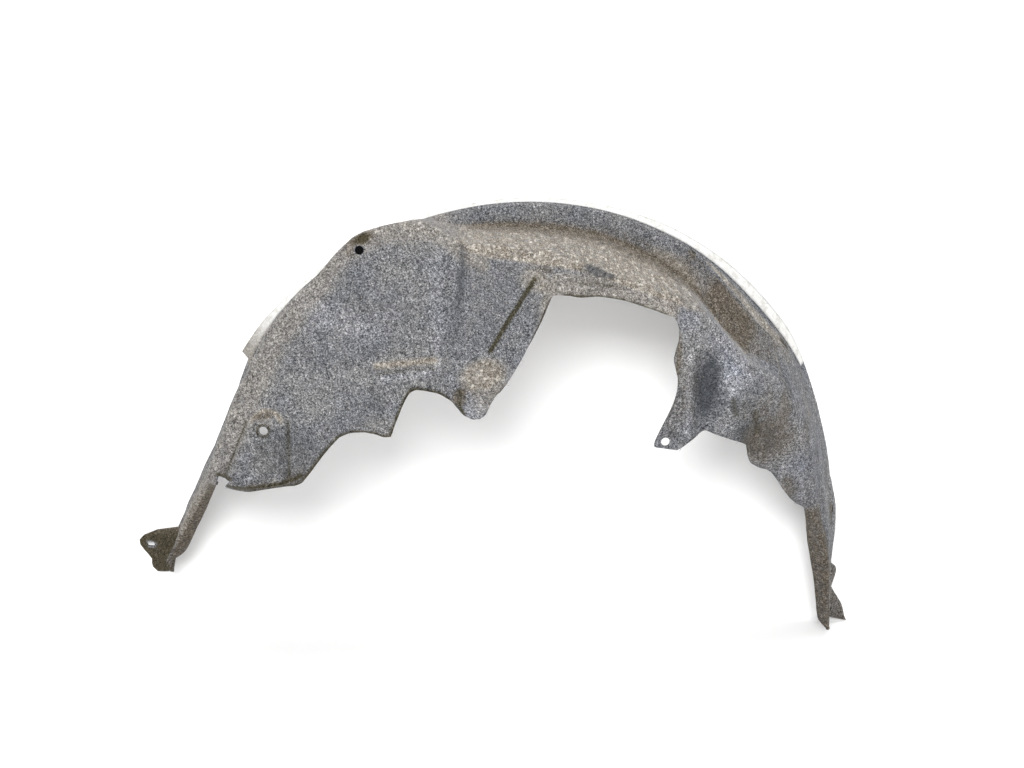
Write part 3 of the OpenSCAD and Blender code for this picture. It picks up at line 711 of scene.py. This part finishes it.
# The cut faces are near black: compressed felt at the edges, and painted shade in the hole walls and under
# the lower edges.
colour = mix(math_node("MULTIPLY", layer_value("cut"), 0.85), colour, line_colour)
colour = mix(math_node("MULTIPLY", layer_value("wheel_side"), 0.55), colour, mud_and_shade_colour)
streak_tone = ramp(streaks, [(0.36, grey(0.78)), (0.5, grey(1.05)), (0.64, grey(1.32))])
colour = mix(1.0, colour, streak_tone, "MULTIPLY")
# Painted highlight: near-white felt on the turned lip.
colour = mix(layer_value("lip_highlight"), colour, lip_highlight_colour)
links.new(colour, shader.inputs["Base Color"])
bump = nodes.new("ShaderNodeBump")
bump.inputs["Strength"].default_value = 0.6
bump.inputs["Distance"].default_value = 0.001
links.new(grain, bump.inputs["Height"])
links.new(bump.outputs["Normal"], shader.inputs["Normal"])

# Sheet thickness
# The felt is pressed down to three millimetres and keeps a slightly uneven face. A node tree roughens the
# skin, gives it its thickness towards the wheel and closes its cut edges.
sheet_thickness = 0.003
sheet_unevenness = 0.0006
lump_size = 0.014
weld_distance = 0.00001


def new_tree(name, inputs):
    tree = bpy.data.node_groups.new(name, "GeometryNodeTree")
    for socket_name, kind in inputs:
        tree.interface.new_socket(socket_name, in_out="INPUT", socket_type=kind)
    tree.interface.new_socket("Result", in_out="OUTPUT", socket_type="NodeSocketGeometry")
    return tree, tree.nodes.new("NodeGroupInput").outputs, tree.nodes.new("NodeGroupOutput")


def tree_node(tree, kind, links_in, **settings):
    node = tree.nodes.new(kind)
    for key, value in settings.items():
        setattr(node, key, value)
    for socket_name, value in links_in.items():
        socket = node.inputs[socket_name]
        if isinstance(value, bpy.types.NodeSocket):
            tree.links.new(value, socket)
        else:
            socket.default_value = value
    return node


def tree_math(tree, operation, first, second):
    return tree_node(tree, "ShaderNodeMath", {0: first, 1: second}, operation=operation).outputs[0]


def finish_tree(tree, geometry, material, result):
    real = tree_node(tree, "GeometryNodeRealizeInstances", {"Geometry": geometry}).outputs[0]
    coated = tree_node(tree, "GeometryNodeSetMaterial", {"Geometry": real, "Material": material}).outputs[0]
    tree.links.new(coated, result.inputs["Result"])


def keep_result(obj):
    """Gives an object what its modifiers make of it as a plain mesh, and removes them."""
    bpy.context.view_layer.update()
    evaluated = obj.evaluated_get(bpy.context.evaluated_depsgraph_get())
    mesh = bpy.data.meshes.new_from_object(evaluated)
    obj.modifiers.clear()
    obj.data = mesh


def bake(obj, tree, values):
    """Runs a node tree on an object once, and keeps the result."""
    modifier = obj.modifiers.new(tree.name, "NODES")
    modifier.node_group = tree
    for item in tree.interface.items_tree:
        if item.in_out == "INPUT" and item.name in values:
            modifier[item.identifier] = values[item.name]
    keep_result(obj)


tree, given, result = new_tree("pressed_felt", [
    ("Skin", "NodeSocketGeometry"), ("Thickness", "NodeSocketFloat"), ("Unevenness", "NodeSocketFloat"),
    ("Lump size", "NodeSocketFloat"), ("Seed", "NodeSocketFloat"), ("Felt", "NodeSocketMaterial")])
normal = tree_node(tree, "GeometryNodeInputNormal", {}).outputs[0]
lump_scale = tree_math(tree, "DIVIDE", 1.0, given["Lump size"])
lumps = tree_node(tree, "ShaderNodeTexNoise", {"W": given["Seed"], "Scale": lump_scale, "Detail": 3.0},
                  noise_dimensions="4D").outputs["Fac"]
centred = tree_math(tree, "SUBTRACT", lumps, 0.5)
lift = tree_math(tree, "MULTIPLY", centred, given["Unevenness"])
offset = tree_node(tree, "ShaderNodeVectorMath", {0: normal, "Scale": lift}, operation="SCALE").outputs[0]
front = tree_node(tree, "GeometryNodeSetPosition", {"Geometry": given["Skin"], "Offset": offset}).outputs[0]
turned = tree_node(tree, "GeometryNodeFlipFaces", {"Mesh": front}).outputs[0]
back = tree_node(tree, "GeometryNodeExtrudeMesh",
                 {"Mesh": turned, "Offset Scale": given["Thickness"], "Individual": False})
edges = tree_node(tree, "GeometryNodeStoreNamedAttribute",
                  {"Geometry": back.outputs["Mesh"], "Name": "cut", "Value": back.outputs["Side"]},
                  data_type="FLOAT", domain="FACE").outputs[0]
backed = tree_node(tree, "GeometryNodeStoreNamedAttribute",
                   {"Geometry": edges, "Name": "wheel_side", "Value": back.outputs["Top"]},
                   data_type="FLOAT", domain="FACE").outputs[0]
both = tree.nodes.new("GeometryNodeJoinGeometry")
tree.links.new(front, both.inputs[0])
tree.links.new(backed, both.inputs[0])
welded = tree_node(tree, "GeometryNodeMergeByDistance",
                   {"Geometry": both.outputs[0], "Distance": weld_distance}).outputs[0]
finish_tree(tree, welded, given["Felt"], result)
bake(liner_sheet, tree, {"Thickness": sheet_thickness, "Unevenness": sheet_unevenness, "Lump size": lump_size,
                         "Seed": 3.0, "Felt": felt})

# Holes, slot and notch
# After pressing, the sheet is punched: three screw holes in the panel, three clip holes near the lip, a slot
# in the rear end tab and a notch behind the panel's rear corner. Places are shares of the arch radius.
screw_bore = 0.008
clip_bore = 0.006
slot_length = 0.009
slot_width = 0.005
ear_hole = (-0.428, 0.893)
tab_hole = (0.367, 0.39)
slot_place = (-1.145, -0.055)
# Each clip hole has its station's angle and its share of the way from the wall's top to the rim.
clip_holes = [(59.5, 0.35), (36.3, 0.7), (3.9, 0.7)]
notch_outline = [
    (-0.81, 0.298), (-0.779, 0.287), (-0.787, 0.276), (-0.797, 0.266), (-0.803, 0.252), (-0.81, 0.235),
    (-0.844, 0.205), (-0.844, 0.222), (-0.828, 0.262), (-0.8155, 0.285),
]
panel_reach = 0.012
clip_reach = 0.006
slot_reach = 0.018
notch_reach = 0.08

cutter_vertices = []
cutter_faces = []


def punch(outline, place_at, turned_by, reach):
    """Adds a prism with the outline given in X and Y, turned and moved into place, reaching both ways."""
    base = len(cutter_vertices)
    count = len(outline)
    spin = Matrix.Translation(place_at) @ turned_by.to_4x4()
    for level in (-reach, reach):
        cutter_vertices.extend(tuple(spin @ Vector((px, py, level))) for px, py in outline)
    cutter_faces.append([base + k for k in reversed(range(count))])
    cutter_faces.append([base + count + k for k in range(count)])
    for k in range(count):
        after = (k + 1) % count
        cutter_faces.append([base + k, base + after, base + count + after, base + count + k])


def ring(size, steps=32, middle=(0, 0), start=0, sweep=2 * math.pi, closed=False):
    """Points on a circle or on part of one, where closed adds the last point."""
    turns = [start + sweep * k / steps for k in range(steps + closed)]
    return [(middle[0] + size * math.cos(t), middle[1] + size * math.sin(t)) for t in turns]


through = Matrix.Rotation(math.radians(90), 3, "X")
for hole in (ear_hole, pad_hole, tab_hole):
    middle = (hole[0] * arch_radius, -inner_depth, hole[1] * arch_radius)
    punch(ring(screw_bore / 2), middle, through, panel_reach)
for clip_angle, way in clip_holes:
    low = [float(np.interp(clip_angle, stations, corners[3][:, k])) for k in (0, 1)]
    high = [float(np.interp(clip_angle, stations, corners[4][:, k])) for k in (0, 1)]
    middle = [a + way * (b - a) for a, b in zip(low, high)]
    lean = math.atan2(high[1] - low[1], high[0] - low[0])
    round_arch = Matrix.Rotation(math.radians(-clip_angle), 3, "Y")
    spin = round_arch @ Matrix.Rotation(lean - math.pi / 2, 3, "Z") @ Matrix.Rotation(math.pi / 2, 3, "Y")
    punch(ring(clip_bore / 2, 24), round_arch @ Vector((middle[0], middle[1], 0)), spin, clip_reach)
flat = (slot_length - slot_width) / 2
slot_outline = ring(slot_width / 2, 12, (flat, 0), -math.pi / 2, math.pi, True)
slot_outline += ring(slot_width / 2, 12, (-flat, 0), math.pi / 2, math.pi, True)
punch(slot_outline, (slot_place[0] * arch_radius, 0, slot_place[1] * arch_radius), through, slot_reach)
notch = [(px * arch_radius, -pz * arch_radius) for px, pz in notch_outline]
punch(notch, (0, -inner_depth, 0), Matrix.Rotation(math.radians(-90), 3, "X"), notch_reach)

cutter_mesh = bpy.data.meshes.new("punches")
cutter_mesh.from_pydata(cutter_vertices, [], cutter_faces)
cutter_mesh.attributes.new("cut", "FLOAT", "FACE").data.foreach_set("value", [1.0] * len(cutter_faces))
cutter_mesh.materials.append(felt)
cutter = add_object("punches", cutter_mesh)
punching = liner_sheet.modifiers.new("punching", "BOOLEAN")
punching.operation = "DIFFERENCE"
punching.solver = "EXACT"
punching.object = cutter
keep_result(liner_sheet)
punched = liner_sheet.data
bpy.data.objects.remove(cutter)
punched.set_sharp_from_angle(angle=math.radians(50))
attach(liner_sheet, "root")
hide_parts("liner")

# Stray fibres
# Needle-punched felt sheds fibres: thin bent strands, finer than the grain, lie on its clean body side.
# One bent strand is repeated by a node tree and lies flat on the sheet, turned and sized at random.
fibres_a_square_metre = 18000.0
fibre_length = 0.009
fibre_thickness = 0.00012
resting_height = 0.0001


def plain_material(name, colour, roughness, specular=0.5):
    material = bpy.data.materials.new(name)
    material.use_nodes = True
    inputs = material.node_tree.nodes["Principled BSDF"].inputs
    inputs["Base Color"].default_value = (*colour, 1)
    inputs["Roughness"].default_value = roughness
    inputs["Specular IOR Level"].default_value = specular
    return material


def scatter(tree, skin_in, density, instance, seed, scale_low, scale_high):
    """Spreads an instance over the skin, lying on it, turned round at random. Returns the instances."""
    points = tree_node(tree, "GeometryNodeDistributePointsOnFaces",
                       {"Mesh": skin_in, "Density": density, "Seed": seed})
    turn_z = tree_node(tree, "FunctionNodeRandomValue", {2: 0.0, 3: 2 * math.pi, "Seed": seed}).outputs[1]
    spin = tree_node(tree, "ShaderNodeCombineXYZ", {"Z": turn_z}).outputs[0]
    turned = tree_node(tree, "FunctionNodeRotateRotation",
                       {"Rotation": points.outputs["Rotation"], "Rotate By": spin},
                       rotation_space="LOCAL").outputs[0]
    size = tree_node(tree, "FunctionNodeRandomValue", {2: scale_low, 3: scale_high, "Seed": seed}).outputs[1]
    placed = tree_node(tree, "GeometryNodeInstanceOnPoints",
                       {"Points": points.outputs["Points"], "Instance": instance, "Rotation": turned,
                        "Scale": size}).outputs[0]
    return tree_node(tree, "GeometryNodeTranslateInstances",
                     {"Instances": placed, "Translation": (0, 0, resting_height),
                      "Local Space": True}).outputs[0]


def tree_layer(tree, name):
    return tree_node(tree, "GeometryNodeInputNamedAttribute", {"Name": name}, data_type="FLOAT").outputs[0]


def body_side(tree, skin_in):
    """Keeps the faces of the body side: no cut edge and no face towards the wheel."""
    kept = skin_in
    for name in ("cut", "wheel_side"):
        found = tree_node(tree, "FunctionNodeCompare", {0: tree_layer(tree, name), 1: 0.5},
                          operation="GREATER_THAN").outputs[0]
        kept = tree_node(tree, "GeometryNodeDeleteGeometry", {"Geometry": kept, "Selection": found},
                         domain="FACE").outputs[0]
    return kept


fibre_colour = plain_material("loose_fibre", (0.27, 0.275, 0.29), 0.8)
tree, given, result = new_tree("stray_fibres", [
    ("Skin", "NodeSocketGeometry"), ("Fibres a square metre", "NodeSocketFloat"),
    ("Length", "NodeSocketFloat"), ("Thickness", "NodeSocketFloat"), ("Seed", "NodeSocketInt"),
    ("Fibre", "NodeSocketMaterial")])
half_length = tree_math(tree, "MULTIPLY", given["Length"], 0.5)
start = tree_node(tree, "ShaderNodeCombineXYZ", {"X": half_length}).outputs[0]
end = tree_node(tree, "ShaderNodeVectorMath", {0: start, "Scale": -1.0}, operation="SCALE").outputs[0]
arc = tree_node(tree, "ShaderNodeVectorMath", {0: start, 1: (-0.3, 0.3, 0.3)},
                operation="MULTIPLY").outputs[0]
bow = tree_math(tree, "MULTIPLY", half_length, 0.5)
rise = tree_node(tree, "ShaderNodeCombineXYZ", {"Y": bow}).outputs[0]
top = tree_node(tree, "ShaderNodeVectorMath", {0: arc, 1: rise}, operation="ADD").outputs[0]
strand = tree_node(tree, "GeometryNodeCurveQuadraticBezier",
                   {"Resolution": 4, "Start": start, "Middle": top, "End": end}).outputs[0]
profile = tree_node(tree, "GeometryNodeCurvePrimitiveCircle",
                    {"Resolution": 3, "Radius": given["Thickness"]}).outputs[0]
fibre = tree_node(tree, "GeometryNodeCurveToMesh", {"Curve": strand, "Profile Curve": profile}).outputs[0]
density = tree_math(tree, "MULTIPLY", tree_layer(tree, "clean"), given["Fibres a square metre"])
fibres = scatter(tree, body_side(tree, given["Skin"]), density, fibre, given["Seed"], 0.5, 1.2)
finish_tree(tree, fibres, given["Fibre"], result)
stray_fibres = add_object("stray_fibres", punched.copy())
bake(stray_fibres, tree, {"Fibres a square metre": fibres_a_square_metre, "Length": fibre_length,
                          "Thickness": fibre_thickness, "Seed": 5, "Fibre": fibre_colour})

# Crumbs of dirt
# Dry road dirt sticks to the ledge and in the hollow as small crumbs. A node tree spreads one rough crumb
# where the dust and dirt layers are thick.
crumbs_a_square_metre = 50000.0
crumb_size = 0.0006

crumb_colour = plain_material("dry_dirt", (0.3, 0.265, 0.22), 1.0)
tree, given, result = new_tree("dirt_crumbs", [
    ("Skin", "NodeSocketGeometry"), ("Crumbs a square metre", "NodeSocketFloat"),
    ("Crumb size", "NodeSocketFloat"), ("Seed", "NodeSocketInt"), ("Dirt", "NodeSocketMaterial")])
density = tree_math(tree, "MULTIPLY", tree_layer(tree, "grit"), given["Crumbs a square metre"])
crumb = tree_node(tree, "GeometryNodeMeshIcoSphere",
                  {"Radius": given["Crumb size"], "Subdivisions": 1}).outputs[0]
crumbs = scatter(tree, body_side(tree, given["Skin"]), density, crumb, given["Seed"], 0.4, 1.1)
finish_tree(tree, crumbs, given["Dirt"], result)
dirt_crumbs = add_object("dirt_crumbs", punched.copy())
bake(dirt_crumbs, tree, {"Crumbs a square metre": crumbs_a_square_metre, "Crumb size": crumb_size, "Seed": 8,
                         "Dirt": crumb_colour})

# Painted shade behind the ear's hole
# The ear's hole looks black from the body side. A thin near-black disc, a little larger than the hole, stands
# just behind it as painted shade.
disc_radius = 0.0062
disc_levels = (-0.0002, 0.0028)
disc_lift = 0.0015
disc_behind = 0.0032
disc_place = (ear_hole[0] * arch_radius, -inner_depth + disc_behind, (ear_hole[1] + disc_lift) * arch_radius)
disc_steps = 24

disc_vertices = []
for level in disc_levels:
    disc_vertices.extend((px, py, level) for px, py in ring(disc_radius, disc_steps))
disc_faces = [[k for k in reversed(range(disc_steps))], [disc_steps + k for k in range(disc_steps)]]
for k in range(disc_steps):
    after = (k + 1) % disc_steps
    disc_faces.append([k, after, disc_steps + after, disc_steps + k])
disc_mesh = bpy.data.meshes.new("ear_hole_shade_disc")
disc_mesh.from_pydata(disc_vertices, [], disc_faces)
disc_mesh.transform(Matrix.Translation(disc_place) @ through.to_4x4())
disc_mesh.materials.append(plain_material("painted_hole_shade", grey(0.004), 1.0, 0.0))
ear_hole_shade_disc = add_object("ear_hole_shade_disc", disc_mesh)
for piece in (stray_fibres, dirt_crumbs, ear_hole_shade_disc):
    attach(piece, "root")

# Floor and light
# A pale floor turns up into a pale backdrop just behind the lip, which is clear when seen from behind. One
# large soft light stands in front, one hangs above, and the surround is an even white.
floor_level = cad_box[0][2] - 0.001
floor_reach = 30
backdrop_y = 0.009
sweep_profile = [
    (-floor_reach, floor_level), (backdrop_y - 0.007, floor_level), (backdrop_y - 0.002, floor_level + 0.002),
    (backdrop_y, floor_level + 0.007), (backdrop_y, floor_reach),
]
floor_mesh = bpy.data.meshes.new("floor")
floor_points = [(side * floor_reach, y, level) for y, level in sweep_profile for side in (-1, 1)]
floor_faces = [(2 * k, 2 * k + 1, 2 * k + 3, 2 * k + 2) for k in range(len(sweep_profile) - 1)]
floor_mesh.from_pydata(floor_points, [], floor_faces)
floor_mesh.polygons.foreach_set("use_smooth", [True] * len(floor_faces))
paper = plain_material("white_paper", grey(0.92), 1.0, 0.0)
paper_nodes = paper.node_tree.nodes
paper_links = paper.node_tree.links
paper_shader = paper_nodes["Principled BSDF"]
paper_shader.inputs["Emission Color"].default_value = (1, 1, 1, 1)
paper_shader.inputs["Emission Strength"].default_value = 0.09
seen = paper_nodes.new("ShaderNodeNewGeometry")
clear = paper_nodes.new("ShaderNodeBsdfTransparent")
one_side = paper_nodes.new("ShaderNodeMixShader")
paper_links.new(seen.outputs["Backfacing"], one_side.inputs[0])
paper_links.new(paper_shader.outputs[0], one_side.inputs[1])
paper_links.new(clear.outputs[0], one_side.inputs[2])
paper_links.new(one_side.outputs[0], paper_nodes["Material Output"].inputs["Surface"])
floor_mesh.materials.append(paper)
floor = add_object("floor", floor_mesh)

world = bpy.data.worlds.new("studio")
world.use_nodes = True
surround = world.node_tree.nodes["Background"]
surround.inputs["Color"].default_value = (1, 1, 1, 1)
surround.inputs["Strength"].default_value = 0.5
bpy.context.scene.world = world
bpy.context.scene.view_settings.view_transform = "Standard"


def softbox(name, place_at, aim, size, power):
    lamp = bpy.data.lights.new(name, "AREA")
    lamp.shape = "RECTANGLE"
    lamp.size, lamp.size_y = size
    lamp.energy = power
    obj = add_object(name, lamp)
    obj.location = place_at
    obj.rotation_euler = (Vector(aim) - Vector(place_at)).to_track_quat("-Z", "Y").to_euler()


softbox("key_light", (-0.25, -2.65, 1.3), (0, 0, 0.1), (1.0, 0.8), 64)
softbox("top_light", (-0.1, -0.7, 2.5), (0, -0.1, 0.2), (1.6, 1.2), 26)
